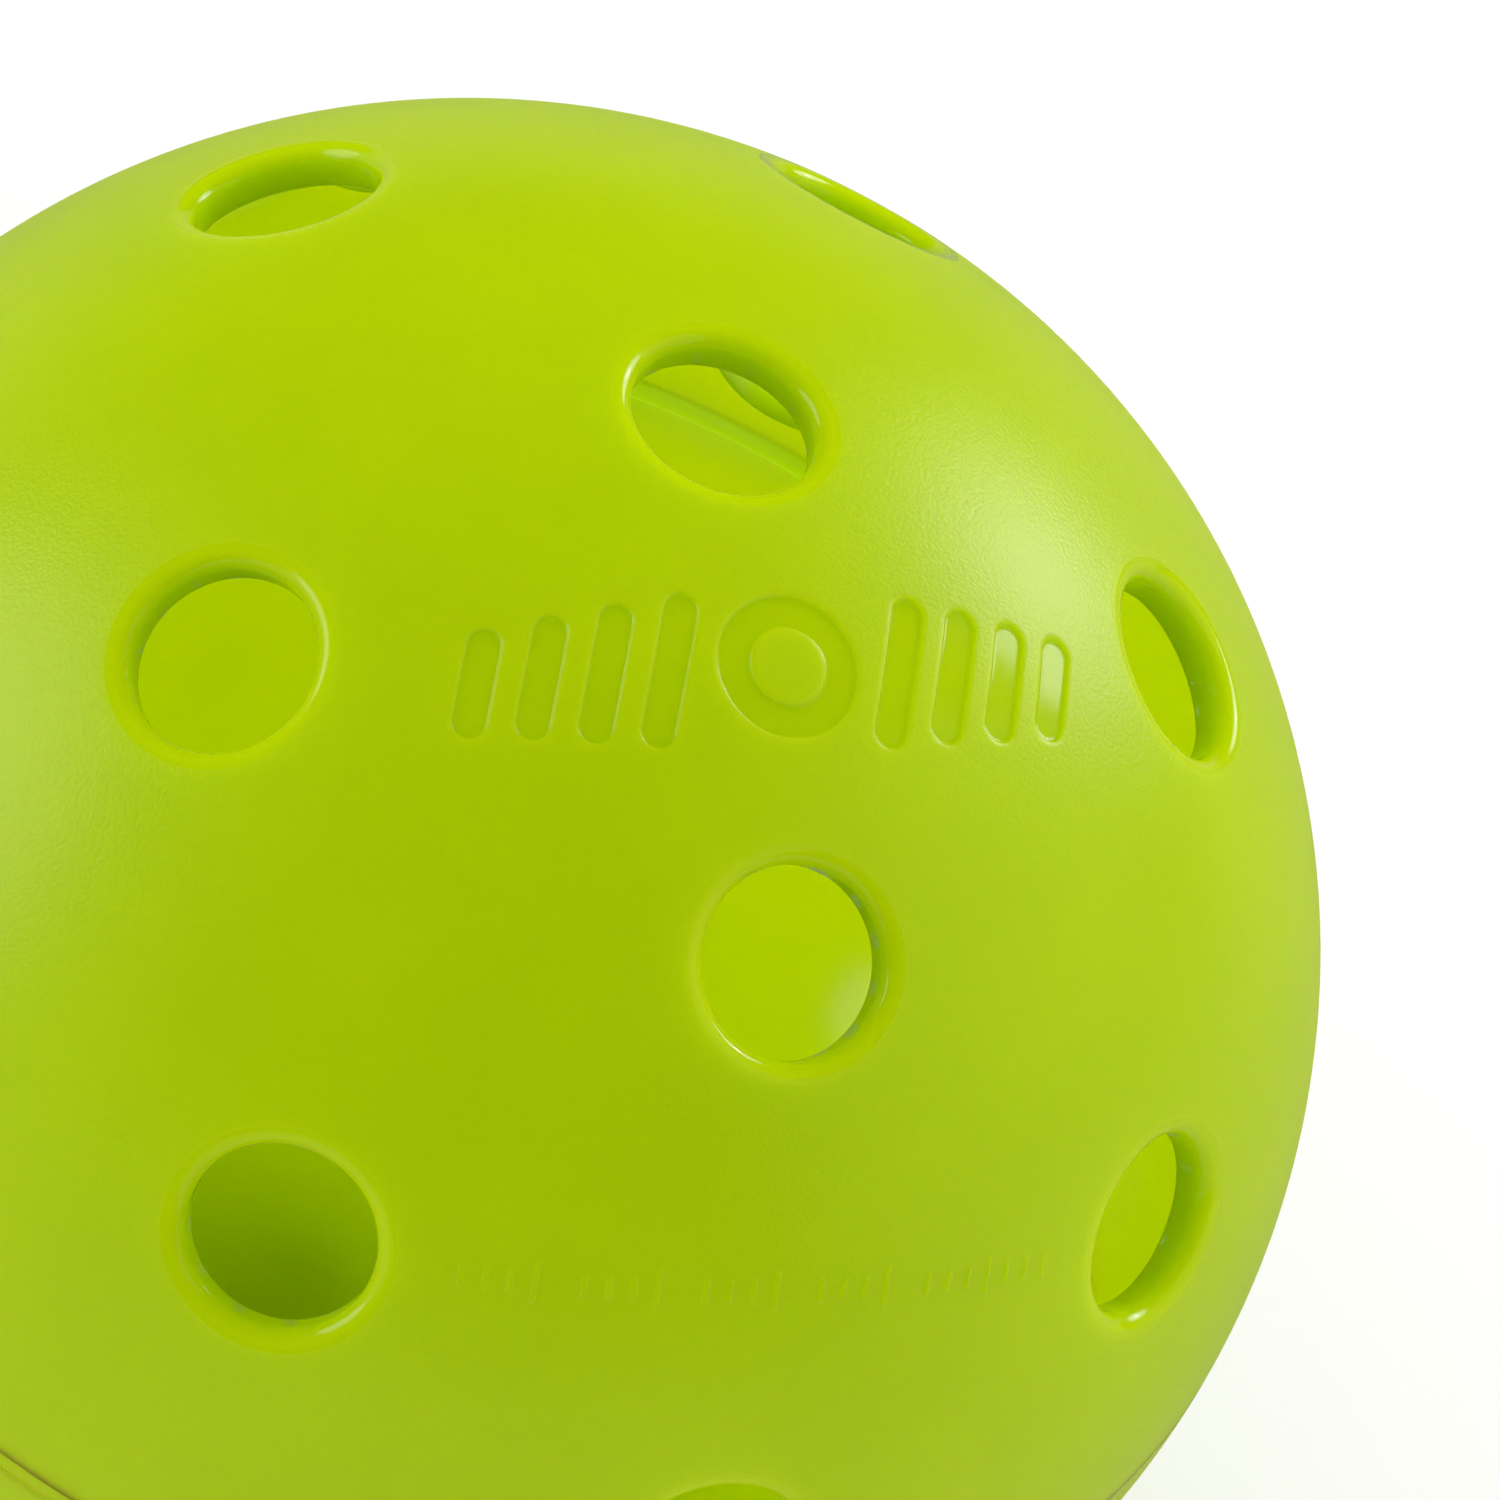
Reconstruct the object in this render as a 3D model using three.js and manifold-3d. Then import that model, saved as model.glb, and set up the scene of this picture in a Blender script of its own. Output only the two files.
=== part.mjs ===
// A pickleball: two moulded half shells of polyethylene with 32 round holes, welded together at the equator.
//
// Millimetres, +Z up, origin at the centre of the ball. The Z axis runs through the two pole holes, and the
// weld lies in the plane z = 0, between the two rows of holes on either side of it. The ball rests on the
// narrow flat land around the south pole hole.

import * as THREE from "three";
import { mergeVertices } from "three/addons/utils/BufferGeometryUtils.js";
import Module from "manifold-3d";

// Driving dimensions, in millimetres.
const BALL_DIAMETER = 74;
const WALL = 1.85;
const BORE_DIAMETER = 7.9; // the straight part of each hole
const RIM_FILLET = 0.75; // the rounded outer edge of each hole
const LAND_DEPTH = 0.014; // how far the flat land of each rim lies under the fillet's crest
const WELD_HEIGHT = 0.8; // the band of remelted plastic between the two halves
const WELD_BEAD = 0.2; // how far the weld's inner bead stands out of the wall

// Clearances, in millimetres.
const CUT_CLEARANCE = 0.6; // how far a cutter reaches past the surface that it cuts through

// How finely round shapes are divided.
const SHELL_SEGMENTS = 56;
const OUTER_RINGS = 13;
const INNER_RINGS = 9;
const HOLE_SEGMENTS = 16;
const FILLET_STEPS = 2;
const BEAD_STEPS = 6;

const BALL_RADIUS = BALL_DIAMETER / 2;
const INNER_RADIUS = BALL_RADIUS - WALL;
const BORE_RADIUS = BORE_DIAMETER / 2;
const WELD_HALF = WELD_HEIGHT / 2;

// The holes lie where the axes of an icosahedron meet the ball: the 12 axes through its corners and the 20
// through the centres of its faces. Each row is a ring of five holes with its latitude and the longitude of
// its first hole, in degrees. Half a turn about Y brings the upper half's holes on to the lower half's.
const HOLES_PER_ROW = 5;
const ROW_STEP = 360 / HOLES_PER_ROW;
const CORNER_LATITUDE = THREE.MathUtils.radToDeg(Math.atan(1 / 2));
const HIGH_FACE_LATITUDE = 90 - THREE.MathUtils.radToDeg(Math.atan(3 - Math.sqrt(5)));
const LOW_FACE_LATITUDE = 90 - THREE.MathUtils.radToDeg(Math.atan(3 + Math.sqrt(5)));
const UPPER_ROWS = [
  { latitude: HIGH_FACE_LATITUDE, firstLongitude: ROW_STEP / 2 },
  { latitude: CORNER_LATITUDE, firstLongitude: 0 },
  { latitude: LOW_FACE_LATITUDE, firstLongitude: ROW_STEP / 2 },
];

const wasm = await Module();
wasm.setup();

// A closed three.js geometry as a manifold-3d solid.
function solidFrom(geometry) {
  const bare = geometry.clone();
  bare.deleteAttribute("normal");
  bare.deleteAttribute("uv");
  const merged = mergeVertices(bare);
  return new wasm.Manifold(
    new wasm.Mesh({
      numProp: 3,
      vertProperties: merged.attributes.position.array,
      triVerts: new Uint32Array(merged.index.array),
    }),
  );
}

// A manifold-3d solid as a three.js geometry.
function geometryFrom(solid) {
  const mesh = solid.getMesh();
  const geometry = new THREE.BufferGeometry();
  geometry.setAttribute("position", new THREE.BufferAttribute(new Float32Array(mesh.vertProperties), 3));
  geometry.setIndex(new THREE.BufferAttribute(new Uint32Array(mesh.triVerts), 1));
  geometry.computeVertexNormals();
  return geometry;
}

// A profile of [radius, height] points turned about the Z axis. It runs upwards on its outer side.
function turned(points, segments) {
  const profile = points.map(([radius, height]) => new THREE.Vector2(radius, height));
  return new THREE.LatheGeometry(profile, segments).rotateX(Math.PI / 2);
}

// Points along an arc about a centre, from one angle to another in radians, both ends included.
function arc([centreRadius, centreHeight], radius, from, to, steps) {
  return Array.from({ length: steps + 1 }, (_, i) => {
    const angle = from + ((to - from) * i) / steps;
    return [centreRadius + radius * Math.cos(angle), centreHeight + radius * Math.sin(angle)];
  });
}

// The rounded rim of a hole, seen along the hole's own axis. The fillet rolls from the straight bore on to
// the ball's surface, and its crest is cut to a narrow flat land.
const filletRing = BORE_RADIUS + RIM_FILLET;
const filletHeight = Math.sqrt((BALL_RADIUS - RIM_FILLET) ** 2 - filletRing ** 2);
const landHeight = filletHeight + RIM_FILLET - LAND_DEPTH;
const landInnerAngle = Math.PI - Math.asin((landHeight - filletHeight) / RIM_FILLET);
const landOuterRadius = Math.sqrt(BALL_RADIUS ** 2 - landHeight ** 2);

// The bore's upper edge, the fillet and the inner edge of the land, from the bore outwards.
const rimProfile = arc([filletRing, filletHeight], RIM_FILLET, Math.PI, landInnerAngle, FILLET_STEPS);

// The solid that a hole takes away, standing on the Z axis.
function holeCutter() {
  const bottom = INNER_RADIUS - CUT_CLEARANCE - BORE_RADIUS;
  const top = BALL_RADIUS + CUT_CLEARANCE;
  const skirt = landOuterRadius + CUT_CLEARANCE;
  const profile = [
    [0, bottom],
    [BORE_RADIUS, bottom],
    ...rimProfile,
    [skirt, landHeight],
    [skirt, top],
    [0, top],
  ];
  return solidFrom(turned(profile, HOLE_SEGMENTS));
}

// The direction of a hole's axis as a turn of the Z axis.
function holeTurn(latitude, longitude) {
  const polar = THREE.MathUtils.degToRad(90 - latitude);
  const around = THREE.MathUtils.degToRad(longitude);
  return new THREE.Matrix4()
    .makeRotationZ(around)
    .multiply(new THREE.Matrix4().makeRotationY(polar));
}

// The upper half shell. Its profile holds the wall, the pole hole and the flat edge that meets the weld, and
// the other holes are cut through it.
function upperShellSolid() {
  const edgeOuter = Math.asin(WELD_HALF / BALL_RADIUS);
  const edgeInner = Math.asin(WELD_HALF / INNER_RADIUS);
  const poleOuter = Math.acos(landOuterRadius / BALL_RADIUS);
  const poleInner = Math.acos(BORE_RADIUS / INNER_RADIUS);
  const outer = arc([0, 0], BALL_RADIUS, edgeOuter, poleOuter, OUTER_RINGS);
  const inner = arc([0, 0], INNER_RADIUS, poleInner, edgeInner, INNER_RINGS);
  const rim = rimProfile.toReversed();
  const loop = [...outer, ...rim, ...inner];
  const wall = solidFrom(turned([...loop, loop[0]], SHELL_SEGMENTS));
  const cutter = holeCutter();
  const cuts = UPPER_ROWS.flatMap(({ latitude, firstLongitude }) =>
    Array.from({ length: HOLES_PER_ROW }, (_, i) =>
      cutter.transform(holeTurn(latitude, firstLongitude + i * ROW_STEP).elements),
    ),
  );
  return cuts.reduce((shell, cut) => shell.subtract(cut), wall);
}

// The weld between the halves: flush with the ball outside, and a rounded bead of squeezed-out plastic inside.
function weldRingGeometry() {
  const edgeRadius = Math.sqrt(BALL_RADIUS ** 2 - WELD_HALF ** 2);
  const wallRadius = Math.sqrt(INNER_RADIUS ** 2 - WELD_HALF ** 2);
  const bead = Array.from({ length: BEAD_STEPS + 1 }, (_, i) => {
    const angle = Math.PI * (1 / 2 + i / BEAD_STEPS);
    return [wallRadius + WELD_BEAD * Math.cos(angle), WELD_HALF * Math.sin(angle)];
  });
  const profile = [[edgeRadius, -WELD_HALF], [BALL_RADIUS, 0], [edgeRadius, WELD_HALF], ...bead];
  return turned([...profile, profile[0]], SHELL_SEGMENTS);
}

function part(name, geometry, material) {
  const mesh = new THREE.Mesh(geometry, material);
  mesh.name = name;
  return mesh;
}

const shellPlastic = new THREE.MeshStandardMaterial({ color: "#b1d006", roughness: 0.45, metalness: 0 });
const weldPlastic = new THREE.MeshStandardMaterial({ color: "#a6c503", roughness: 0.3, metalness: 0 });

const ball = new THREE.Group();
ball.name = "pickleball";
const shellGeometry = geometryFrom(upperShellSolid());
const upperShell = part("upper_shell", shellGeometry, shellPlastic);
const lowerShell = part("lower_shell", shellGeometry, shellPlastic.clone());
lowerShell.rotation.y = Math.PI;
ball.add(upperShell, lowerShell, part("seam_weld_ring", weldRingGeometry(), weldPlastic));

export default ball;
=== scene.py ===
"""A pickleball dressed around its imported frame: two half shells, the weld between them, and a studio."""

import logging
import math
from dataclasses import dataclass, field
from enum import Enum
from typing import Sequence

import bpy
import numpy as np
from mathutils import Matrix, Vector
from mathutils.geometry import delaunay_2d_cdt


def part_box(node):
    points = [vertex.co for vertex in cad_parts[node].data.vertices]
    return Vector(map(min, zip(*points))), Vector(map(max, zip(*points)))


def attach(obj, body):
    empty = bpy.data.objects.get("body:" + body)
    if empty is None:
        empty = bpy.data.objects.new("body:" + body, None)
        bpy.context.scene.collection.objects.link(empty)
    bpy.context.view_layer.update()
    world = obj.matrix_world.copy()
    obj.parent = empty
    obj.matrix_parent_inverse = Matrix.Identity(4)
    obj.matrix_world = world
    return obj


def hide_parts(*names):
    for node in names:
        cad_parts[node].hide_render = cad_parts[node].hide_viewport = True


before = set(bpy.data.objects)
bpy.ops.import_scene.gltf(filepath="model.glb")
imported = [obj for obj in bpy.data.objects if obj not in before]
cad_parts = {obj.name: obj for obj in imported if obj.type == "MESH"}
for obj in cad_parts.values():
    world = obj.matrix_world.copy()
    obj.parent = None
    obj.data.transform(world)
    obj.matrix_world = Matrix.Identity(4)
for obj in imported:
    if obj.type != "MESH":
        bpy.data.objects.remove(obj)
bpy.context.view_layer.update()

MM = 0.001
TAU = 2 * math.pi
WORLD_UP = np.array([0.0, 0.0, 1.0])
TINY = 1e-9  # below this, an angle or a height counts as none
SAME_PLACE = 1e-8  # metres; points that round to the same multiple of this are one vertex
CREASE = math.radians(40)  # edges that turn by more than this are sharp
LOG = logging.getLogger("pickleball")

Point = np.ndarray


def unit(vector: Sequence[float]) -> Point:
    """Returns the vector at length one."""
    array = np.asarray(vector, float)
    return array / np.linalg.norm(array)


def direction(latitude: float, longitude: float) -> Point:
    """Gives the direction from the ball's centre at a latitude and a longitude.

    Args:
        latitude: Degrees above the weld's plane.
        longitude: Degrees about +Z, from +X.

    Returns:
        A vector of length one.
    """
    high, around = math.radians(latitude), math.radians(longitude)
    return np.array([math.cos(high) * math.cos(around), math.cos(high) * math.sin(around), math.sin(high)])


def slerp(start: Point, end: Point, share: float) -> Point:
    """Gives a direction part of the way along the great circle between two directions.

    Args:
        start: The direction at share 0.
        end: The direction at share 1.
        share: How far along, from 0 to 1.

    Returns:
        A vector of length one.
    """
    angle = math.acos(float(np.clip(start @ end, -1.0, 1.0)))
    if angle < TINY:
        return start
    return (math.sin((1 - share) * angle) * start + math.sin(share * angle) * end) / math.sin(angle)


def tangent_axes(normal: Point) -> tuple[Point, Point]:
    """Returns two directions at right angles to a direction and to each other."""
    helper = WORLD_UP if abs(normal[2]) < 0.9 else np.array([1.0, 0.0, 0.0])
    first = unit(np.cross(helper, normal))
    return first, np.cross(normal, first)


# ---------------------------------------------------------------- colours and shader nodes


def linear(code: str, alpha: float = 1.0) -> tuple[float, float, float, float]:
    """Turns an sRGB hex colour to the linear values that a shader takes.

    Args:
        code: Six hex digits after a hash.
        alpha: The fourth value.

    Returns:
        Linear red, green and blue, and alpha.
    """
    shares = (int(code[i : i + 2], 16) / 255 for i in (1, 3, 5))
    red, green, blue = (s / 12.92 if s <= 0.04045 else ((s + 0.055) / 1.055) ** 2.4 for s in shares)
    return red, green, blue, alpha


def add_node(
    tree: bpy.types.NodeTree, kind: str, settings: dict | None = None, **inputs: object
) -> bpy.types.Node:
    """Adds a node with its settings, socket values and links.

    Args:
        tree: The node tree that takes the node.
        kind: The node's type name in Blender.
        settings: Attributes of the node itself.
        **inputs: Sockets by name, with underscores for spaces. An output socket is linked, and anything else
            is set.

    Returns:
        The new node.
    """
    node = tree.nodes.new(kind)
    for name, value in (settings or {}).items():
        setattr(node, name, value)
    for name, value in inputs.items():
        socket = node.inputs[name.replace("_", " ")]
        if isinstance(value, bpy.types.NodeSocket):
            tree.links.new(value, socket)
        else:
            socket.default_value = value
    return node


def features_per_metre(size: float) -> float:
    """Returns the noise scale whose features are about the given size in metres."""
    return 1 / size


@dataclass(frozen=True)
class Polyethylene:
    """Translucent moulded polyethylene, dyed yellow-green. The finishes of the ball differ in their skins.

    Polyethylene is milky in itself: light enters, wanders a few millimetres between crystals and dye, and
    leaves again, so lit edges glow and the inside of the ball is nearly as bright as its outside.
    """

    name: str
    light: str = "#bfd904"  # where the dye is paler
    deep: str = "#b4cf02"
    roughness: float = 0.4
    grain: float = 0.0  # size of the skin's texture, metres
    grain_depth: float = 0.0  # its height, metres
    ripple: float = 0.0  # size of the shallow flow ripples, metres
    ripple_depth: float = 0.0
    ior: float = 1.51
    shine: float = 0.5  # how strongly the skin reflects, with 0.5 for a clean surface of this index
    wander: tuple[float, float, float] = (3.0 * MM, 3.6 * MM, 0.5 * MM)  # of red, green and blue light
    cloud: float = 9 * MM  # size of the faint variation of colour
    # A fused face glows: painted light that stands in for the light crossing from the plastic beyond it.
    carried: float = 0.0  # strength of the light that crosses a fused face from the plastic beyond it
    carried_tint: str = "#f2ff80"  # its colour

    def build(self) -> bpy.types.Material:
        """Returns the finish as a new material."""
        material = bpy.data.materials.new(self.name)
        material.use_nodes = True
        material.diffuse_color = linear(self.light)
        tree = material.node_tree
        tree.nodes.clear()
        place = add_node(tree, "ShaderNodeTexCoord").outputs["Object"]
        scale = features_per_metre(self.cloud)
        cloud = add_node(tree, "ShaderNodeTexNoise", Vector=place, Scale=scale, Detail=2.0)
        colour = add_node(tree, "ShaderNodeMix", {"data_type": "RGBA"}, Factor=cloud.outputs["Fac"])
        colour.inputs[6].default_value = linear(self.deep)
        colour.inputs[7].default_value = linear(self.light)
        shader = add_node(
            tree,
            "ShaderNodeBsdfPrincipled",
            Base_Color=colour.outputs[2],
            Roughness=self.roughness,
            IOR=self.ior,
            Specular_IOR_Level=self.shine,
            Subsurface_Weight=1.0,
            Subsurface_Radius=self.wander,
            Subsurface_Scale=1.0,
            Emission_Color=linear(self.carried_tint),
            Emission_Strength=self.carried,
        )
        normal = self._relief(tree, place)
        if normal:
            tree.links.new(normal, shader.inputs["Normal"])
        add_node(tree, "ShaderNodeOutputMaterial", Surface=shader.outputs["BSDF"])
        material.cycles.emission_sampling = "NONE"
        return material

    def _relief(self, tree: bpy.types.NodeTree, place: bpy.types.NodeSocket) -> bpy.types.NodeSocket | None:
        """Adds the skin's fine relief.

        Args:
            tree: The material's node tree.
            place: The socket that gives the position.

        Returns:
            The normal after the relief, or None where the skin is polished flat.
        """
        normal = None
        ripple, grain = (self.ripple, self.ripple_depth, 0.0), (self.grain, self.grain_depth, 1.5)
        for size, depth, detail in (ripple, grain):
            if not size:
                continue
            scale = features_per_metre(size)
            noise = add_node(tree, "ShaderNodeTexNoise", Vector=place, Scale=scale, Detail=detail)
            bump = add_node(tree, "ShaderNodeBump", Distance=depth, Strength=1.0, Height=noise.outputs["Fac"])
            if normal:
                tree.links.new(normal, bump.inputs["Normal"])
            normal = bump.outputs["Normal"]
        return normal


class Skin(Enum):
    """The finishes of the ball's surfaces, in the order of a half shell's material slots."""

    FROSTED = 0
    POLISHED = 1
    INNER = 2
    REMELTED = 3
    FUSED = 4


FINISHES = {
    # Injection-moulded against a spark-eroded cavity: a fine pebbled skin that spreads reflections into a
    # broad soft sheen with small sparkles.
    Skin.FROSTED: Polyethylene(
        "polyethylene_spark_eroded_skin", roughness=0.34, grain=0.19 * MM, grain_depth=0.017 * MM
    ),
    # Shaped by polished core pins and a polished insert: smooth, so edges and floors show crisp reflections.
    Skin.POLISHED: Polyethylene(
        "polyethylene_polished_tool", roughness=0.13, ripple=2.2 * MM, ripple_depth=0.01 * MM
    ),
    # Moulded against a turned and polished core: smooth, with faint flow ripples. Light from outside crosses
    # the wall and leaves here, so the inside glows, and this side's light wanders further than the skin's.
    # Its colour is paler and brighter than the outer skin's: painted light that brightens the inside seen
    # through the holes.
    Skin.INNER: Polyethylene(
        "polyethylene_core_side_painted_glow", light="#d8f60c", deep="#d2f10a", roughness=0.14,
        wander=(8.0 * MM, 9.0 * MM, 1.5 * MM), ripple=3.5 * MM, ripple_depth=0.02 * MM,
    ),
    # Melted, frozen in air and trimmed: slightly wavy, with a wet gloss.
    Skin.REMELTED: Polyethylene(
        "polyethylene_remelted_weld", roughness=0.2, wander=(0.6 * MM, 0.7 * MM, 0.1 * MM),
        ripple=0.9 * MM, ripple_depth=0.03 * MM,
    ),
    # The faces inside the wall where the melt joined the pieces. They are hidden from every side. Sound
    # plastic has no surface there, but a mesh ends at its faces, so a faint glow stands in for the light that
    # would cross. It keeps the wall evenly bright on both sides of the weld.
    Skin.FUSED: Polyethylene("polyethylene_fused_joint", carried=0.25),
}


# ---------------------------------------------------------------- sizes


@dataclass(frozen=True)
class BallSizes:
    """The sizes that the half shells and the weld share, in metres."""

    radius: float  # outer surface
    weld_half: float  # half the weld's height
    pole_height: float  # from the centre to the flat land of a rim
    wall: float = 1.85 * MM
    bore: float = 3.95 * MM  # radius of a hole's straight part
    fillet: float = 0.75 * MM  # rounding of a hole's outer edge
    lip: float = 0.14 * MM  # rounding of a hole's inner edge
    weld_depth: float = 0.6 * MM  # how deep the weld's band of remelted plastic shows as a separate colour
    gap: float = 0.004 * MM  # between pieces that touch
    ridge: float = 0.02 * MM  # height of the low ridge that the melt left along the inner wall
    fillet_points: int = 10
    lip_points: int = 5

    @classmethod
    def from_frame(cls) -> "BallSizes":
        """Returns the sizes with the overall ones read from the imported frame."""
        low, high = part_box("seam_weld_ring")
        return cls(radius=high.x, weld_half=(high.z - low.z) / 2, pole_height=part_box("upper_shell")[1].z)

    @property
    def inner(self) -> float:
        """The radius of the inner surface."""
        return self.radius - self.wall

    def rim_profile(self) -> list[tuple[float, float]]:
        """Gives the section of a hole's edge along the hole's own axis.

        Returns:
            Pairs of radius and height, from the outer surface over the land and the fillet, down the bore and
            round the lip to the inner surface.
        """
        ring = self.bore + self.fillet
        centre = math.sqrt((self.radius - self.fillet) ** 2 - ring**2)
        land_outer = math.sqrt(self.radius**2 - self.pole_height**2)
        start = math.asin((self.pole_height - centre) / self.fillet)
        fillet = [
            (ring - self.fillet * math.cos(a), centre + self.fillet * math.sin(a))
            for a in np.linspace(start, 0.0, self.fillet_points)
        ]
        lip_ring = self.bore + self.lip
        lip_centre = math.sqrt((self.inner + self.lip) ** 2 - lip_ring**2)
        lip_end = math.atan2(lip_centre, lip_ring)
        lip = [
            (lip_ring - self.lip * math.cos(a), lip_centre - self.lip * math.sin(a))
            for a in np.linspace(0.0, lip_end, self.lip_points)
        ]
        bore_top, bore_foot = fillet[-1][1], lip[0][1]
        bore = [(self.bore, bore_top + (bore_foot - bore_top) * s) for s in (0.25, 0.5, 0.75)]
        return [(land_outer, self.pole_height), *fillet, *bore, *lip]


# ---------------------------------------------------------------- the half shell's surface


class MeshMaker:
    """Collects points and faces, and gives points that fall together one vertex."""

    def __init__(self) -> None:
        """Starts with no points and no faces."""
        self.points: list[Point] = []
        self.faces: list[tuple[int, ...]] = []
        self.skins: list[Skin] = []
        self._known: dict[tuple[int, int, int], int] = {}

    def point(self, place: Point) -> int:
        """Adds a point, or finds it if it is there.

        Args:
            place: The position in metres.

        Returns:
            The vertex's number.
        """
        key = tuple(int(round(c / SAME_PLACE)) for c in place)
        if key not in self._known:
            self._known[key] = len(self.points)
            self.points.append(place)
        return self._known[key]

    def face(self, corners: Sequence[int], skin: Skin) -> None:
        """Adds a face unless its corners fall together.

        Args:
            corners: Vertex numbers, anticlockwise seen from outside.
            skin: The finish.
        """
        kept = tuple(c for i, c in enumerate(corners) if c != corners[i - 1])
        if len(set(kept)) > 2:
            self.faces.append(kept)
            self.skins.append(skin)

    def strip(self, lower: Sequence[int], upper: Sequence[int], skin: Skin, closed: bool) -> None:
        """Joins two rows of vertices by four-sided faces.

        Args:
            lower: The first row.
            upper: The second row, as long as the first.
            skin: The finish.
            closed: Whether the rows are rings.
        """
        count = len(lower)
        for i in range(count if closed else count - 1):
            j = (i + 1) % count
            self.face((lower[i], lower[j], upper[j], upper[i]), skin)

    def to_object(self, name: str, turn: Matrix | None = None) -> bpy.types.Object:
        """Makes the mesh a Blender object.

        Args:
            name: The object's name.
            turn: A rotation for the points, if any.

        Returns:
            The object, linked to the scene, with smooth faces and sharp creases.
        """
        mesh = bpy.data.meshes.new(name)
        mesh.from_pydata([tuple(p) for p in self.points], [], self.faces)
        if turn:
            mesh.transform(turn)
        used = sorted(set(self.skins), key=lambda skin: skin.value)
        for skin in used:
            mesh.materials.append(material_of(skin))
        mesh.polygons.foreach_set("material_index", [used.index(skin) for skin in self.skins])
        mesh.polygons.foreach_set("use_smooth", [True] * len(mesh.polygons))
        mesh.validate()
        mesh.set_sharp_from_angle(angle=CREASE)
        piece = bpy.data.objects.new(name, mesh)
        bpy.context.scene.collection.objects.link(piece)
        return piece


_materials: dict[Skin, bpy.types.Material] = {}


def material_of(skin: Skin) -> bpy.types.Material:
    """Returns the material of a finish, made on first use."""
    if skin not in _materials:
        _materials[skin] = FINISHES[skin].build()
    return _materials[skin]


HOLES_PER_ROW = 5
ROW_STEP = 360 / HOLES_PER_ROW  # degrees between the holes of a row


@dataclass
class HoleRow:
    """A ring of five holes, by latitude and by the longitude of its first hole, in degrees."""

    latitude: float
    first_longitude: float

    def axes(self) -> list[Point]:
        """Returns the directions of the row's holes."""
        return [direction(self.latitude, self.first_longitude + ROW_STEP * i) for i in range(HOLES_PER_ROW)]


# The twelve corners and the twenty face centres of an icosahedron with one corner at the pole.
POLE_TO_HIGH = math.degrees(math.atan(3 - math.sqrt(5)))
POLE_TO_MIDDLE = math.degrees(math.atan(2))
POLE_TO_LOW = math.degrees(math.atan(3 + math.sqrt(5)))
UPPER_ROWS = (
    HoleRow(90 - POLE_TO_HIGH, ROW_STEP / 2),
    HoleRow(90 - POLE_TO_MIDDLE, 0),
    HoleRow(90 - POLE_TO_LOW, ROW_STEP / 2),
)

# How finely the outlines of pressed or raised shapes are divided, in metres.
BAR_END_STEP = 0.19 * MM
RING_STEP = 0.22 * MM
BAR_SIDE_STEP = 0.5 * MM
FEWEST_END_STEPS = 6


@dataclass
class Stroke:
    """A straight bar with round ends, in the flat frame of a relief, in metres."""

    start: tuple[float, float]
    end: tuple[float, float]
    width: float

    def distance(self, place: Point) -> float:
        """Returns how far a point is outside the bar's outline, or minus how far it is inside."""
        a, b = np.array(self.start), np.array(self.end)
        along = b - a
        share = float(np.clip((place - a) @ along / (along @ along), 0.0, 1.0))
        return float(np.linalg.norm(place - a - share * along)) - self.width / 2

    def outlines(self, offset: float) -> list[list[Point]]:
        """Gives the bar's outline moved out or in.

        Args:
            offset: How far out, or in if negative.

        Returns:
            One closed ring of points.
        """
        a, b = np.array(self.start), np.array(self.end)
        along = unit(b - a)
        reach = self.width / 2 + offset
        heading = math.atan2(along[1], along[0])
        steps = max(FEWEST_END_STEPS, round(math.pi * self.width / 2 / BAR_END_STEP))
        ring = []
        for centre, first in ((b, heading - math.pi / 2), (a, heading + math.pi / 2)):
            for i in range(steps + 1):
                angle = first + math.pi * i / steps
                ring.append(centre + reach * np.array([math.cos(angle), math.sin(angle)]))
        return [fill_sides(ring, BAR_SIDE_STEP)]


@dataclass
class Ring:
    """A flat ring in the frame of a relief, in metres."""

    centre: tuple[float, float]
    radius: float  # of the middle of the band
    width: float

    def distance(self, place: Point) -> float:
        """Returns how far a point is outside the band, or minus how far it is inside."""
        return abs(float(np.linalg.norm(place - np.array(self.centre))) - self.radius) - self.width / 2

    def outlines(self, offset: float) -> list[list[Point]]:
        """Gives the band's two outlines moved out or in.

        Args:
            offset: How far out of the band, or into it if negative.

        Returns:
            Two closed rings of points.
        """
        rings = []
        for reach in (self.radius + self.width / 2 + offset, self.radius - self.width / 2 - offset):
            count = round(TAU * self.radius / RING_STEP)
            turns = [np.array([math.cos(TAU * i / count), math.sin(TAU * i / count)]) for i in range(count)]
            rings.append([np.array(self.centre) + reach * turn for turn in turns])
        return rings


def fill_sides(ring: list[Point], step: float) -> list[Point]:
    """Divides a ring's long sides.

    Args:
        ring: A closed ring of points.
        step: The longest side allowed.

    Returns:
        The ring with points added.
    """
    filled = []
    for i, point in enumerate(ring):
        after = ring[(i + 1) % len(ring)]
        count = max(1, math.ceil(float(np.linalg.norm(after - point)) / step))
        filled.extend(point + (after - point) * k / count for k in range(count))
    return filled


NEARLY_TOUCHING = 1e-6  # millimetres; closer points of a patch become one
SIDE_SAMPLE = 0.2 * MM  # between the places on a patch's border from which its filling keeps clear
BORDER_SHARE = 0.6  # how far it keeps clear, as a share of its spacing
TRIANGLE_HEIGHT = 0.87  # height of an equilateral triangle with sides of one


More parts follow.
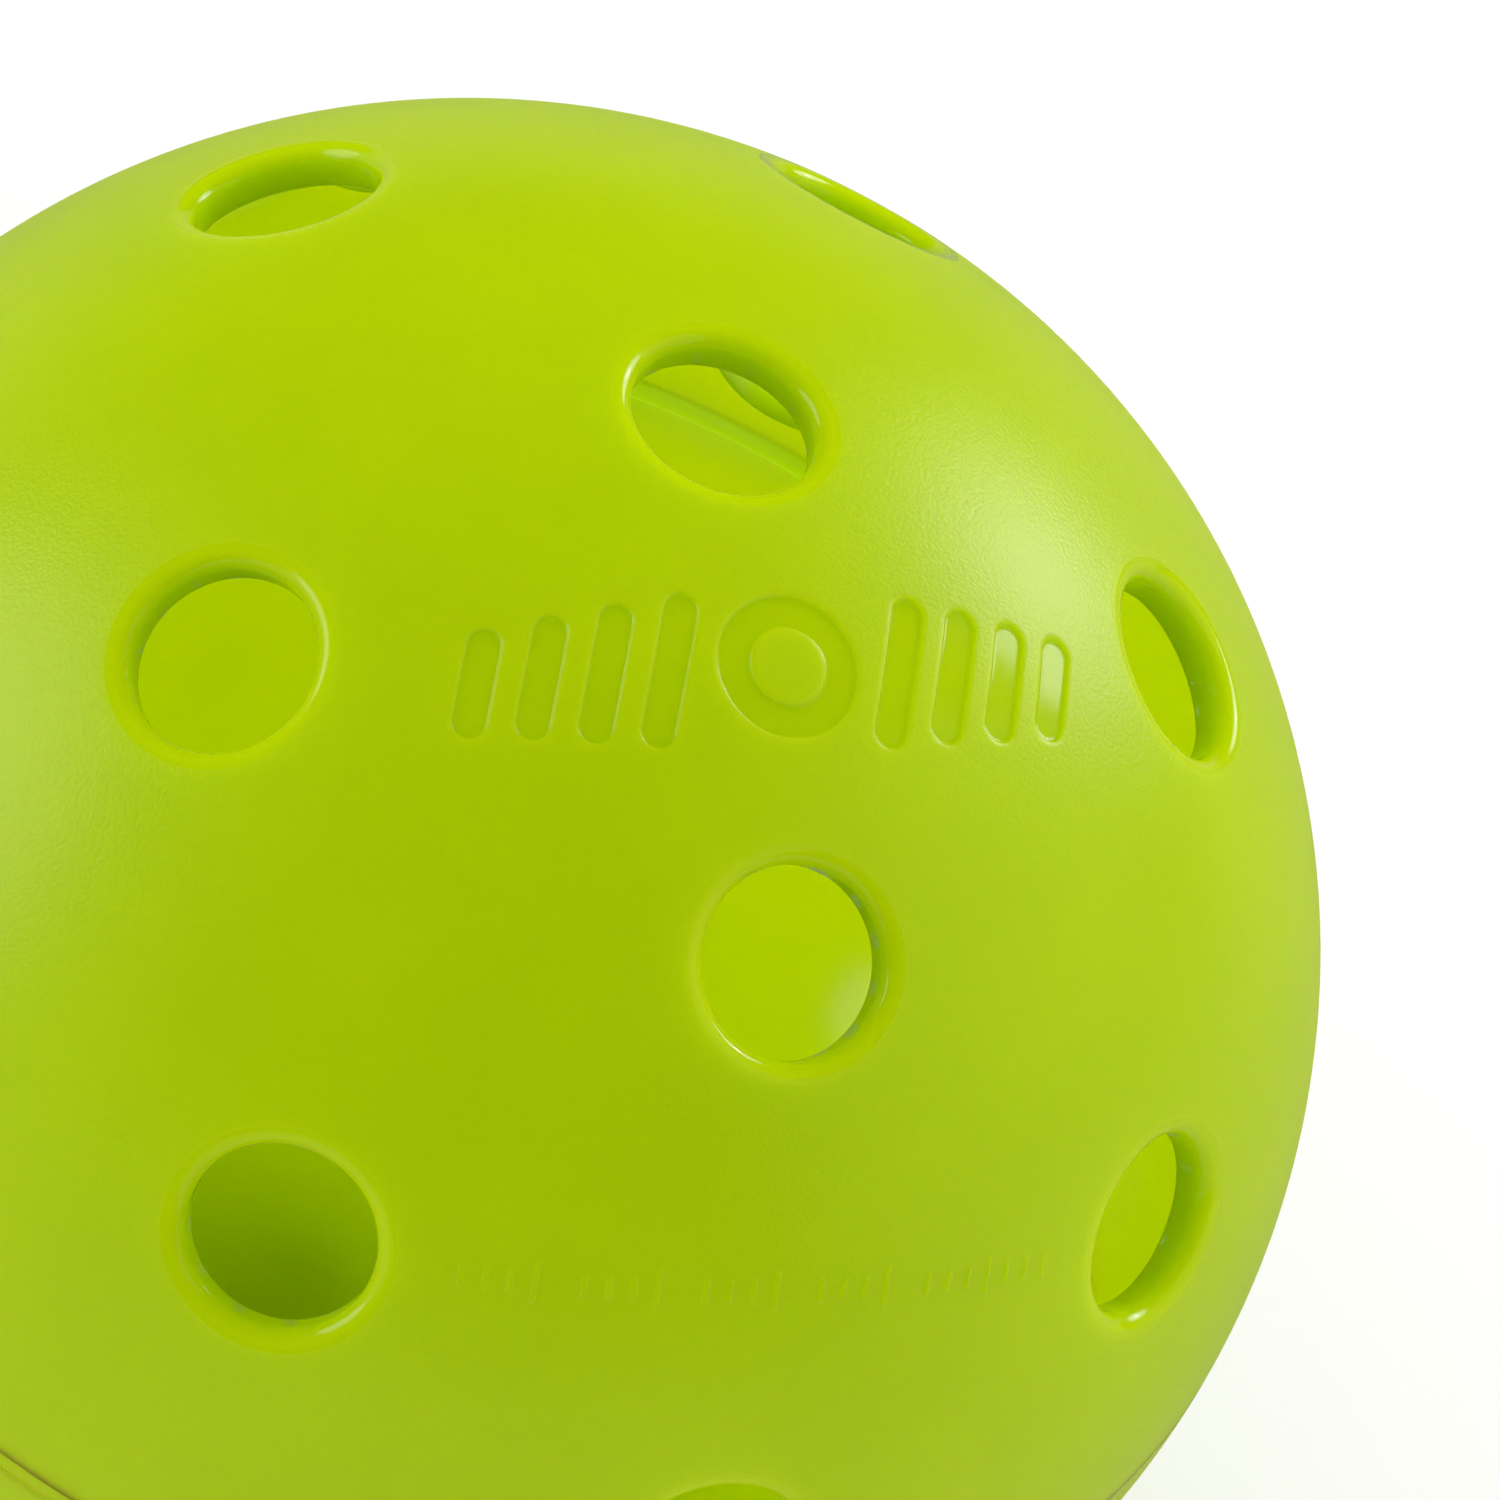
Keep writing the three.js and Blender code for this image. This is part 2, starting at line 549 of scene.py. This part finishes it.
@dataclass
class Relief:
    """Shapes pressed into a patch of the outer surface, or raised from it, in metres.

    The patch has flat coordinates: along its heading and across it, both measured on the surface.
    """

    centre: Point
    upwards: Point  # a direction on the ball that lies across the patch, on its upper side
    reach: tuple[float, float]  # half the patch's length and height
    shapes: list[Stroke | Ring]
    depth: float  # below the surface, or above it if negative
    slope: float  # width of the shapes' sides
    skin: Skin
    radius: float
    spacing: float = 0.62 * MM  # between the points that fill the patch
    # The outlines that the mesh follows, as distances outside the shapes in slope widths. They lie closest
    # together where the side is rounded.
    levels: tuple[float, ...] = (1.6, 0.3, 0.05, -0.3, -0.55, -0.7, -1.6)
    rise: float = 0.3  # the level at which the side starts
    floor: float = -0.35  # the level from which the shape has its own finish
    clear: float = 0.2 * MM  # between the outermost outline and the filling points

    def __post_init__(self) -> None:
        """Works out the patch's axes."""
        self.centre = unit(self.centre)
        self.across = unit(self.upwards - (self.upwards @ self.centre) * self.centre)
        self.along = np.cross(self.across, self.centre)

    def flatten(self, place: Point) -> Point:
        """Returns the flat coordinates of a point on the ball."""
        ray = unit(place)
        high = math.asin(float(ray @ self.across))
        around = math.atan2(float(ray @ self.along), float(ray @ self.centre))
        return np.array([around, high]) * self.radius

    def raise_up(self, flat: Point, depth: float) -> Point:
        """Returns the point on the ball at flat coordinates and a depth below its surface."""
        around, high = flat / self.radius
        level = math.cos(around) * self.centre + math.sin(around) * self.along
        return (math.cos(high) * level + math.sin(high) * self.across) * (self.radius - depth)

    def distance(self, flat: Point) -> float:
        """Returns how far a point is outside the shapes, or minus how far it is inside."""
        return min(shape.distance(flat) for shape in self.shapes)

    def depth_at(self, distance: float) -> float:
        """Returns the depth at a distance from the shapes' outline, with rounded edges."""
        share = float(np.clip(self.rise - distance / self.slope, 0.0, 1.0))
        return self.depth * share * share * (3 - 2 * share)

    def holds(self, place: Point) -> bool:
        """Returns whether a point of the outer surface lies in the patch."""
        if place @ self.centre < 0.5 * self.radius:
            return False
        along, across = self.flatten(place)
        return abs(along) < self.reach[0] and abs(across) < self.reach[1]

    def remesh(self, maker: MeshMaker) -> None:
        """Replaces the outer surface inside the patch by one that follows the shapes.

        Args:
            maker: The half shell's mesh so far.
        """
        inside = [self.holds(p) and np.linalg.norm(p) > self.radius - 0.01 * MM for p in maker.points]
        gone = {i for i, face in enumerate(maker.faces) if all(inside[v] for v in face)}
        edges = self._rim_edges(maker, gone)
        while len({start for start, _ in edges}) < len(edges):
            starts = [start for start, _ in edges]
            pinched = {start for start in starts if starts.count(start) > 1}
            gone |= {i for i, face in enumerate(maker.faces) if pinched & set(face)}
            edges = self._rim_edges(maker, gone)
        follow = dict(edges)
        loop = [next(iter(follow))]
        while follow[loop[-1]] != loop[0]:
            loop.append(follow[loop[-1]])
        maker.skins = [skin for i, skin in enumerate(maker.skins) if i not in gone]
        maker.faces = [face for i, face in enumerate(maker.faces) if i not in gone]
        self._triangulate(maker, loop)

    @staticmethod
    def _rim_edges(maker: MeshMaker, faces: set[int]) -> set[tuple[int, int]]:
        """Returns the edges around a set of faces, as pairs of vertex numbers in the faces' own order."""
        edges = set()
        for i in faces:
            face = maker.faces[i]
            for start, end in zip(face, face[1:] + face[:1]):
                if (end, start) in edges:
                    edges.remove((end, start))
                else:
                    edges.add((start, end))
        return edges

    def _triangulate(self, maker: MeshMaker, loop: list[int]) -> None:
        """Fills the patch's boundary loop with triangles that keep the shapes' outlines.

        Args:
            maker: The half shell's mesh, with the patch taken out.
            loop: The vertices around the gap, in the order of the removed faces.
        """
        border = [self.flatten(maker.points[v]) for v in loop]
        flat, edges = list(border), [(i, (i + 1) % len(border)) for i in range(len(border))]
        for shape in self.shapes:
            for level in self.levels:
                for ring in shape.outlines(level * self.slope):
                    first = len(flat)
                    flat.extend(ring)
                    edges.extend((first + i, first + (i + 1) % len(ring)) for i in range(len(ring)))
        flat.extend(self._filling(border))
        scaled = [Vector(p / MM) for p in flat]
        patch = [list(range(len(border)))]
        points, _, triangles, sources, _, _ = delaunay_2d_cdt(scaled, edges, patch, 0, NEARLY_TOUCHING)
        outline = np.array(border)
        numbers = []
        for point, source in zip(points, sources):
            known = [s for s in source if s < len(loop)]
            if known:
                numbers.append(loop[known[0]])
            else:
                spot = np.array(point) * MM
                numbers.append(maker.point(self.raise_up(spot, self.depth_at(self.distance(spot)))))
        for triangle in triangles:
            middle = sum((np.array(points[t]) for t in triangle), np.zeros(2)) * MM / 3
            if not encloses(outline, middle):
                continue
            deep = self.distance(middle) < self.floor * self.slope
            maker.face([numbers[t] for t in triangle], self.skin if deep else Skin.FROSTED)

    def _filling(self, border: list[Point]) -> list[Point]:
        """Gives the points that fill the patch between its border and its shapes.

        Args:
            border: The flat coordinates around the patch.

        Returns:
            Points of a triangular grid.
        """
        outline = np.array(border)
        sides = np.array(fill_sides(border, SIDE_SAMPLE))
        row_step = self.spacing * TRIANGLE_HEIGHT
        outermost = self.levels[0] * self.slope + self.clear
        points = []
        rows = math.ceil(self.reach[1] / row_step)
        columns = math.ceil(self.reach[0] / self.spacing)
        for row in range(-rows, rows + 1):
            for column in range(-columns, columns + 1):
                spot = np.array([(column + 0.5 * (row % 2)) * self.spacing, row * row_step])
                if not encloses(outline, spot) or self.distance(spot) <= outermost:
                    continue
                if np.linalg.norm(sides - spot, axis=1).min() > BORDER_SHARE * self.spacing:
                    points.append(spot)
        return points


def encloses(outline: np.ndarray, spot: Point) -> bool:
    """Tells whether a closed outline goes round a point.

    Args:
        outline: The corners, one to a row.
        spot: The point.

    Returns:
        True if the point is inside.
    """
    after = np.roll(outline, -1, axis=0)
    crosses = (outline[:, 1] > spot[1]) != (after[:, 1] > spot[1])
    rise = np.where(crosses, after[:, 1] - outline[:, 1], 1.0)
    at = outline[:, 0] + (spot[1] - outline[:, 1]) * (after[:, 0] - outline[:, 0]) / rise
    return bool(np.count_nonzero(crosses & (at > spot[0])) % 2)


NEIGHBOURLY = 0.3  # cosine of the widest angle between two holes whose cells could touch


@dataclass
class HalfShell:
    """One moulded half of the ball, made as the upper half. The lower half is turned over.

    The surface is divided into a cell for each hole: the part that is nearer to that hole than to any other.
    Every cell is a fan of rows from the hole's edge to the cell's border, so each rim is a true circle.
    """

    sizes: BallSizes
    reliefs: list[Relief] = field(default_factory=list)
    longest_side: float = 1.3 * MM  # of a face on a cell's border
    widest_turn: float = math.radians(5.5)  # of a face round a hole
    outer_rows: int = 11
    inner_rows: int = 9
    side_samples: int = 240  # by which a cell's side is measured before it is divided

    def __post_init__(self) -> None:
        """Lists the holes' axes."""
        self.axes = [WORLD_UP] + [axis for row in UPPER_ROWS for axis in row.axes()]
        self._borders: dict[tuple[int, int], list[Point]] = {}

    def build(self, name: str, turned_over: bool) -> bpy.types.Object:
        """Makes the half shell.

        Args:
            name: The object's name.
            turned_over: Whether it is the lower half.

        Returns:
            The object.
        """
        maker = MeshMaker()
        for hole in range(len(self.axes)):
            self._cell(maker, hole)
        for relief in self.reliefs:
            relief.remesh(maker)
        turn = Matrix.Rotation(math.pi, 4, "Y") if turned_over else None
        return maker.to_object(name, turn)

    def _corners(self, hole: int) -> list[tuple[Point, int]]:
        """Gives a hole's cell as a polygon.

        Args:
            hole: The hole's number.

        Returns:
            The polygon's corners, anticlockwise, each with the number of the hole across the side that
            follows it, or -1 where that side is the weld.
        """
        axis = self.axes[hole]
        east, north = tangent_axes(axis)
        # Seen from the ball's centre on the plane that touches it at the hole, every border is a straight
        # line. The polygon starts as a square that is far wider than any cell.
        half = 3.0
        polygon = [(np.array(c, float) * half, -2) for c in ((-1, -1), (1, -1), (1, 1), (-1, 1))]
        near = [j for j, other in enumerate(self.axes) if j != hole and axis @ other > NEIGHBOURLY]
        limits = [(axis - self.axes[j], j) for j in near]
        limits.append((WORLD_UP, -1))
        for normal, label in limits:
            line = np.array([normal @ east, normal @ north])
            base = float(normal @ axis)
            polygon = clip(polygon, line, base, label)
        return [(unit(axis + p[0] * east + p[1] * north), label) for p, label in polygon]

    def _border(self, hole: int) -> list[tuple[Point, bool]]:
        """Gives the points around a hole's cell.

        Args:
            hole: The hole's number.

        Returns:
            Directions in order, anticlockwise, each with whether it lies on the weld.
        """
        corners = self._corners(hole)
        points = []
        for i, (start, across) in enumerate(corners):
            end = corners[(i + 1) % len(corners)][0]
            side = self._side(hole, across, start, end)
            points.extend((p, across == -1 or p[2] < TINY) for p in side[:-1])
        return points

    def _side(self, hole: int, across: int, start: Point, end: Point) -> list[Point]:
        """Divides one side of a cell, the same way for both cells that share it.

        Args:
            hole: The cell's hole.
            across: The hole on the other side, or -1 at the weld.
            start: The side's first corner.
            end: Its last corner.

        Returns:
            Directions from start to end.
        """
        key = (min(hole, across), max(hole, across))
        if key not in self._borders:
            fine = [slerp(start, end, s) for s in np.linspace(0, 1, self.side_samples + 1)]
            need = np.zeros(len(fine) - 1)
            for centre in [self.axes[h] for h in (hole, across) if h >= 0]:
                east, north = tangent_axes(centre)
                turns = np.unwrap([math.atan2(p @ north, p @ east) for p in fine])
                need = np.maximum(need, np.abs(np.diff(turns)) / self.widest_turn)
            lengths = [math.acos(min(1.0, float(a @ b))) for a, b in zip(fine, fine[1:])]
            need = np.maximum(need, np.array(lengths) * self.sizes.radius / self.longest_side)
            total = np.concatenate([[0.0], np.cumsum(need)])
            count = math.ceil(total[-1])
            shares = np.interp(np.linspace(0, total[-1], count + 1), total, np.linspace(0, 1, len(total)))
            self._borders[key] = [slerp(start, end, s) for s in shares]
        side = self._borders[key]
        return side if side[0] @ start > side[0] @ end else side[::-1]

    def _cell(self, maker: MeshMaker, hole: int) -> None:
        """Adds the surface around one hole.

        Args:
            maker: The mesh so far.
            hole: The hole's number.
        """
        sizes = self.sizes
        axis = self.axes[hole]
        border = self._border(hole)
        outer = [self._at(p, on_weld, sizes.radius, sizes.weld_half) for p, on_weld in border]
        inner = [
            self._at(p, on_weld, sizes.inner - sizes.ridge * on_weld, sizes.gap) for p, on_weld in border
        ]
        profile = sizes.rim_profile()
        rims = []
        for radius, height in profile:
            rims.append([self._on_circle(axis, radius, height, p) for p in outer])
        rows = [[self._between(rim, end, s, sizes.radius) for rim, end in zip(rims[0], outer)]
                for s in ease(self.outer_rows)]
        rows.extend(rims[1:])
        rows.extend([self._between(rim, end, s, sizes.inner) for rim, end in zip(rims[-1], inner)]
                    for s in ease(self.inner_rows)[::-1][1:])
        numbers = [[maker.point(p) for p in row] for row in rows]
        last_rim = self.outer_rows + len(profile) - 1
        for k, (row, after) in enumerate(zip(numbers, numbers[1:])):
            skin = Skin.FROSTED if k < self.outer_rows else Skin.POLISHED if k < last_rim else Skin.INNER
            maker.strip(row, after, skin, closed=True)
        for i, (_, on_weld) in enumerate(border):
            j = (i + 1) % len(border)
            if on_weld and border[j][1]:
                here, there = (
                    [numbers[0][k], *self._step(maker, border[k][0]), numbers[-1][k]] for k in (i, j)
                )
                maker.strip(here[:2], there[:2], Skin.INNER, closed=False)
                maker.strip(here[1:], there[1:], Skin.FUSED, closed=False)

    def _step(self, maker: MeshMaker, ray: Point) -> list[int]:
        """Adds the two corners of the step behind the weld's band.

        Args:
            maker: The mesh so far.
            ray: The direction of a border point on the weld.

        Returns:
            The upper and the lower corner's vertex numbers.
        """
        radius = self.sizes.radius - self.sizes.weld_depth
        levels = (self.sizes.weld_half, self.sizes.gap)
        return [maker.point(self._at(ray, True, radius, level)) for level in levels]

    @staticmethod
    def _at(ray: Point, on_weld: bool, radius: float, level: float) -> Point:
        """Gives a border point.

        Args:
            ray: Its direction.
            on_weld: Whether it lies on the weld.
            radius: Its distance from the ball's centre.
            level: Its height if it lies on the weld.

        Returns:
            The position in metres.
        """
        if not on_weld:
            return ray * radius
        flat = unit([ray[0], ray[1], 0.0]) * math.sqrt(radius**2 - level**2)
        return np.array([flat[0], flat[1], level])

    @staticmethod
    def _on_circle(axis: Point, radius: float, height: float, towards: Point) -> Point:
        """Returns the point of a circle about an axis that is nearest to a place."""
        side = unit(towards - (towards @ axis) * axis)
        return axis * height + side * radius

    @staticmethod
    def _between(start: Point, end: Point, share: float, radius: float) -> Point:
        """Returns a point of a sphere part of the way from one of its points to another."""
        if share == 0.0:
            return start
        if share == 1.0:
            return end
        return slerp(unit(start), unit(end), share) * radius


def ease(rows: int) -> list[float]:
    """Returns shares from 1 at a cell's border to 0 at its rim, closer together near the rim."""
    return [(1 - i / rows) ** 1.25 for i in range(rows + 1)]


def clip(polygon: list[tuple[Point, int]], line: Point, base: float, label: int) -> list[tuple[Point, int]]:
    """Keeps the part of a flat polygon where line . p + base is positive.

    Args:
        polygon: Corners, each with the label of the side that follows it.
        line: The limit's direction.
        base: The limit's constant.
        label: The label of a side made by this limit.

    Returns:
        The polygon that is left.
    """
    kept = []
    for i, (here, side) in enumerate(polygon):
        there, _ = polygon[(i + 1) % len(polygon)]
        a, b = float(line @ here) + base, float(line @ there) + base
        if a > 0:
            kept.append((here, side))
        if (a > 0) != (b > 0):
            crossing = here + (there - here) * a / (a - b)
            kept.append((crossing, label if a > 0 else side))
    return kept


# ---------------------------------------------------------------- the weld


@dataclass
class WeldBand:
    """The band of remelted plastic between the halves, in metres, trimmed flush with the ball."""

    sizes: BallSizes
    groove: float = 0.04 * MM  # depth of the fine line that trimming leaves on either side
    shoulder: float = 0.1 * MM  # width of the slope into that line
    crown: tuple[float, float] = (0.001 * MM, 0.004 * MM)  # how far the outside falls away before the slope
    segments: int = 240

    def build(self, name: str) -> bpy.types.Object:
        """Makes the band.

        Args:
            name: The object's name.

        Returns:
            The object.
        """
        maker = MeshMaker()
        rows = [
            [maker.point(p) for p in self._section(TAU * i / self.segments)] for i in range(self.segments)
        ]
        for row, after in zip(rows, rows[1:] + rows[:1]):
            maker.strip(after[-2:], row[-2:], Skin.FUSED, closed=False)
            maker.strip([after[-1], *after[:-1]], [row[-1], *row[:-1]], Skin.REMELTED, closed=False)
        return maker.to_object(name)

    def _section(self, around: float) -> list[Point]:
        """Gives the band's section at an angle about the Z axis.

        Args:
            around: The angle in radians.

        Returns:
            Points of a closed loop, up the outside, over to the top of the inner face and down to its foot.
        """
        outer = self.sizes.radius
        half = self.sizes.weld_half - self.sizes.gap
        inner = outer - self.sizes.weld_depth + self.sizes.gap
        upper = [
            (outer - self.crown[0], half - 2 * self.shoulder),
            (outer - self.crown[1], half - self.shoulder),
            (outer - self.groove, half),
            (inner, half),
        ]
        lower = [(r, -z) for r, z in reversed(upper)]
        section = [*lower[1:], (outer, 0.0), *upper, lower[0]]
        return [np.array([r * math.cos(around), r * math.sin(around), z]) for r, z in section]


# ---------------------------------------------------------------- marks on the upper half


@dataclass
class Decoration:
    """The generic decoration of the upper half: a ring between slanted bars, and a row of small ticks."""

    sizes: BallSizes
    ring_centre: tuple[float, float] = (0.3 * MM, 0.1 * MM)
    ring_radius: float = 2.35 * MM  # of the middle of its band
    ring_width: float = 1.45 * MM
    bars: int = 4  # on each side of the ring
    bar_width: float = 1.5 * MM
    bar_pitch: float = 2.62 * MM
    bar_slant: float = math.tan(math.radians(17))
    nearest_bar: float = 5.05 * MM  # from the ring's centre to the middle of the bar next to it
    half_bar: float = 2.55 * MM  # of that bar, which is the longest
    bar_loss: float = 0.33 * MM  # by which each bar's half is shorter than the last one's
    ticks_each_way: int = 13
    skipped_ticks: tuple[int, ...] = (-9, -4, 1, 6)
    tick_pitch: float = 1.0 * MM
    tick_width: float = 0.26 * MM
    half_tick: float = 0.4 * MM
    half_long_tick: float = 0.75 * MM
    long_tick_every: int = 5

    def emblem(self) -> Relief:
        """Gives the pressed-in emblem, midway between the pole hole and the high hole at 36 degrees.

        Returns:
            The relief.
        """
        high_hole = UPPER_ROWS[0].axes()[0]
        shapes: list[Stroke | Ring] = [Ring(self.ring_centre, self.ring_radius, self.ring_width)]
        for side in (-1, 1):
            for i in range(self.bars):
                middle = self.ring_centre[0] + side * (self.nearest_bar + i * self.bar_pitch)
                half = self.half_bar - self.bar_loss * i
                lean = self.bar_slant * half
                shapes.append(Stroke((middle - lean, -half), (middle + lean, half), self.bar_width))
        return Relief(
            centre=WORLD_UP + high_hole,
            upwards=WORLD_UP,
            reach=(16.4 * MM, 5.6 * MM),
            shapes=shapes,
            depth=0.15 * MM,
            slope=0.16 * MM,
            skin=Skin.POLISHED,
            radius=self.sizes.radius,
        )

    def ticks(self) -> Relief:
        """Gives the row of fine raised ticks, midway between the high hole and the low hole below it.

        Returns:
            The relief.
        """
        high_hole, low_hole = UPPER_ROWS[0].axes()[0], UPPER_ROWS[2].axes()[0]
        shapes: list[Stroke | Ring] = []
        for i in range(-self.ticks_each_way, self.ticks_each_way + 1):
            if i not in self.skipped_ticks:
                half = self.half_long_tick if i % self.long_tick_every == 0 else self.half_tick
                middle = i * self.tick_pitch
                shapes.append(Stroke((middle, -half), (middle, half), self.tick_width))
        return Relief(
            centre=high_hole + low_hole,
            upwards=high_hole,
            reach=(14.6 * MM, 2.2 * MM),
            shapes=shapes,
            depth=-0.05 * MM,
            slope=0.09 * MM,
            skin=Skin.POLISHED,
            radius=self.sizes.radius,
        )


# ---------------------------------------------------------------- the studio


@dataclass
class Softbox:
    """A round soft light that looks at the ball."""

    name: str
    towards: tuple[float, float, float]  # from the ball's centre, as camera right, camera up and camera back
    distance: float
    size: float
    power: float
    colour: str = "#ffffff"
    reflected: bool = True  # polarised fill light leaves no reflection

    def build(self, axes: np.ndarray) -> bpy.types.Object:
        """Makes the light.

        Args:
            axes: The camera's right, up and back directions, one to a row.

        Returns:
            The light's object.
        """
        light = bpy.data.lights.new(self.name, "AREA")
        light.shape = "DISK"
        light.size = self.size
        light.energy = self.power
        light.color = linear(self.colour)[:3]
        lamp = bpy.data.objects.new(self.name, light)
        ray = Vector(unit(np.array(self.towards) @ axes))
        lamp.location = ray * self.distance
        lamp.rotation_mode = "QUATERNION"
        lamp.rotation_quaternion = ray.to_track_quat("Z", "Y")
        lamp.visible_glossy = self.reflected
        bpy.context.scene.collection.objects.link(lamp)
        return lamp


@dataclass
class Studio:
    """The camera, a pale floor, and soft lights around the ball."""

    sizes: BallSizes
    place: tuple[float, float, float] = (7.329214, 0.408106, 8.346588)  # the camera's, in ball radii
    right: tuple[float, float, float] = (-0.355429, 0.882294, 0.308588)
    up: tuple[float, float, float] = (-0.637146, -0.470254, 0.610660)
    lens: float = 226.69
    sensor: float = 36.0
    softboxes: tuple[Softbox, ...] = (
        Softbox("key_softbox", (0.82, 0.54, -0.17), 0.42, 0.2, 0.36, "#f4eeff"),
        Softbox("key_lamp", (0.82, 0.54, -0.17), 0.41, 0.03, 0.06, "#f4eeff"),
        Softbox("left_softbox", (-0.9, 0.35, 0.25), 0.5, 0.4, 0.75),
        Softbox("right_softbox", (0.95, -0.1, 0.3), 0.5, 0.6, 0.18),
        Softbox("top_softbox", (0.45, 0.87, 0.2), 0.6, 1.0, 1.5, reflected=False),
    )
    surround: str = "#ffffff"
    surround_strength: float = 0.66
    half_floor: float = 3.0

    def build(self) -> None:
        """Makes the camera, the floor, the lights and the surroundings."""
        axes = np.array([unit(self.right), unit(self.up), unit(np.cross(self.right, self.up))])
        self._camera(axes)
        self._floor()
        for softbox in self.softboxes:
            softbox.build(axes)
            LOG.info("%s: %.2f W", softbox.name, softbox.power)
        self._surroundings()
        scene = bpy.context.scene
        scene.view_settings.view_transform = "Standard"
        scene.cycles.use_denoising = True
        scene.cycles.diffuse_bounces = 8  # light crosses the ball's inside many times

    def _camera(self, axes: np.ndarray) -> None:
        """Makes the camera.

        Args:
            axes: The camera's right, up and back directions, one to a row.
        """
        data = bpy.data.cameras.new("camera")
        data.lens, data.sensor_width = self.lens, self.sensor
        data.clip_start, data.clip_end = 0.01, 20.0
        camera = bpy.data.objects.new("camera", data)
        turn = Matrix(axes.T.tolist()).to_4x4()
        camera.matrix_world = Matrix.Translation(Vector(self.place) * self.sizes.radius) @ turn
        bpy.context.scene.collection.objects.link(camera)
        bpy.context.scene.camera = camera

    def _floor(self) -> None:
        """Makes the plain pale floor under the ball, and a grey sheet in its place that only reflections see:
        a painted, dimmer reflection of the floor.
        """
        seen = self._sheet("floor", "#fcfcfc")
        seen.visible_glossy = False
        # A grey sheet seen only in reflections paints the ball's reflection of the floor dimmer than the
        # floor.
        mirrored = self._sheet("painted_floor_reflection", "#a8a8a8")
        for kind in ("camera", "diffuse", "transmission", "volume_scatter", "shadow"):
            setattr(mirrored, f"visible_{kind}", False)

    def _sheet(self, name: str, colour: str) -> bpy.types.Object:
        """Makes a wide flat sheet of matt paper at the height on which the ball rests.

        Args:
            name: The object's name.
            colour: The paper's colour.

        Returns:
            The object.
        """
        half = self.half_floor
        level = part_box("lower_shell")[0].z
        mesh = bpy.data.meshes.new(name)
        corners = [(-half, -half, level), (half, -half, level), (half, half, level), (-half, half, level)]
        mesh.from_pydata(corners, [], [(0, 1, 2, 3)])
        material = bpy.data.materials.new(f"{name}_matt_paper")
        material.use_nodes = True
        tree = material.node_tree
        tree.nodes.clear()
        shader = add_node(
            tree, "ShaderNodeBsdfPrincipled", Base_Color=linear(colour), Roughness=0.9, Specular_IOR_Level=0.1
        )
        add_node(tree, "ShaderNodeOutputMaterial", Surface=shader.outputs["BSDF"])
        mesh.materials.append(material)
        sheet = bpy.data.objects.new(name, mesh)
        bpy.context.scene.collection.objects.link(sheet)
        return sheet

    def _surroundings(self) -> None:
        """Gives the studio's pale surroundings."""
        world = bpy.data.worlds.new("studio")
        world.use_nodes = True
        tree = world.node_tree
        tree.nodes.clear()
        glow = add_node(
            tree, "ShaderNodeBackground", Color=linear(self.surround), Strength=self.surround_strength
        )
        add_node(tree, "ShaderNodeOutputWorld", Surface=glow.outputs["Background"])
        bpy.context.scene.world = world
        # The surroundings fill the shadows but are left out of reflections, as with polarised fill light.
        world.cycles_visibility.glossy = False


# ---------------------------------------------------------------- assembly


def place_piece(piece: bpy.types.Object, node: str) -> None:
    """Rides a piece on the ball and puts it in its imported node's place.

    Args:
        piece: The visual piece.
        node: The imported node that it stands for.
    """
    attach(piece, "root")
    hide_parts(node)
    triangles = sum(len(p.vertices) - 2 for p in piece.data.polygons)
    LOG.info("%s: %d triangles, in place of %s", piece.name, triangles, node)


def main() -> None:
    """Builds the ball and the studio in order."""
    logging.basicConfig(level=logging.INFO, format="%(message)s")
    sizes = BallSizes.from_frame()
    Studio(sizes).build()
    decoration = Decoration(sizes)
    upper = HalfShell(sizes, [decoration.emblem(), decoration.ticks()])
    place_piece(upper.build("upper_half_shell", turned_over=False), "upper_shell")
    lower = HalfShell(sizes)
    place_piece(lower.build("lower_half_shell", turned_over=True), "lower_shell")
    place_piece(WeldBand(sizes).build("weld_band"), "seam_weld_ring")


if __name__ == "__main__":
    main()
